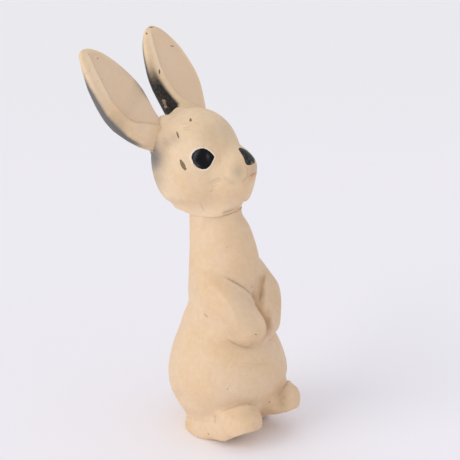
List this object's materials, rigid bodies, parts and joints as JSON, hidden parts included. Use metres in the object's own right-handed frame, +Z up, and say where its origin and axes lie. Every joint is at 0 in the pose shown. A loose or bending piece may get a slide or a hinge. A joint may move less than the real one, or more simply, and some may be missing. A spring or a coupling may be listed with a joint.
{
  "type": "vinyl rabbit figure",
  "caption": "Hollow soft-vinyl rabbit toy that sits upright, with plugged-in ears, set-in eyes and nose, a head that turns on its neck and a reed whistle in the base.",
  "frame": {"origin": "on the floor, at the centre of the whistle hole in the base", "axes": "+Z up, the rabbit's body faces -Y, and its right side is -X"},
  "size_m": [0.0804, 0.0951, 0.1779],
  "materials": {
    "body_vinyl": "aged cream vinyl, satin",
    "head_vinyl": "aged cream vinyl with grey airbrushing, satin",
    "ear_vinyl": "aged cream vinyl with grey airbrushed backs, satin",
    "eye_black": "glossy black",
    "nose_black": "worn glossy black",
    "whistle_plastic": "moulded, matte",
    "reed_brass": "rolled strip"
  },
  "bodies": {
    "body": {"body_shell": "body_vinyl", "whistle_cup": "whistle_plastic", "whistle_plate": "whistle_plastic", "whistle_reed": "reed_brass", "whistle_cap": "whistle_plastic"},
    "head": {"head_shell": "head_vinyl", "ear_right": "ear_vinyl", "ear_left": "ear_vinyl", "eye_right": "eye_black", "eye_left": "eye_black", "nose": "nose_black"}
  },
  "joints": [
    {"name": "head_swivel", "type": "hinge", "parent": "body", "child": "head", "pos_m": [0, 0.008, 0.104], "axis": [-0.0349, 0.0349, 0.9988], "continuous": true}
  ]
}
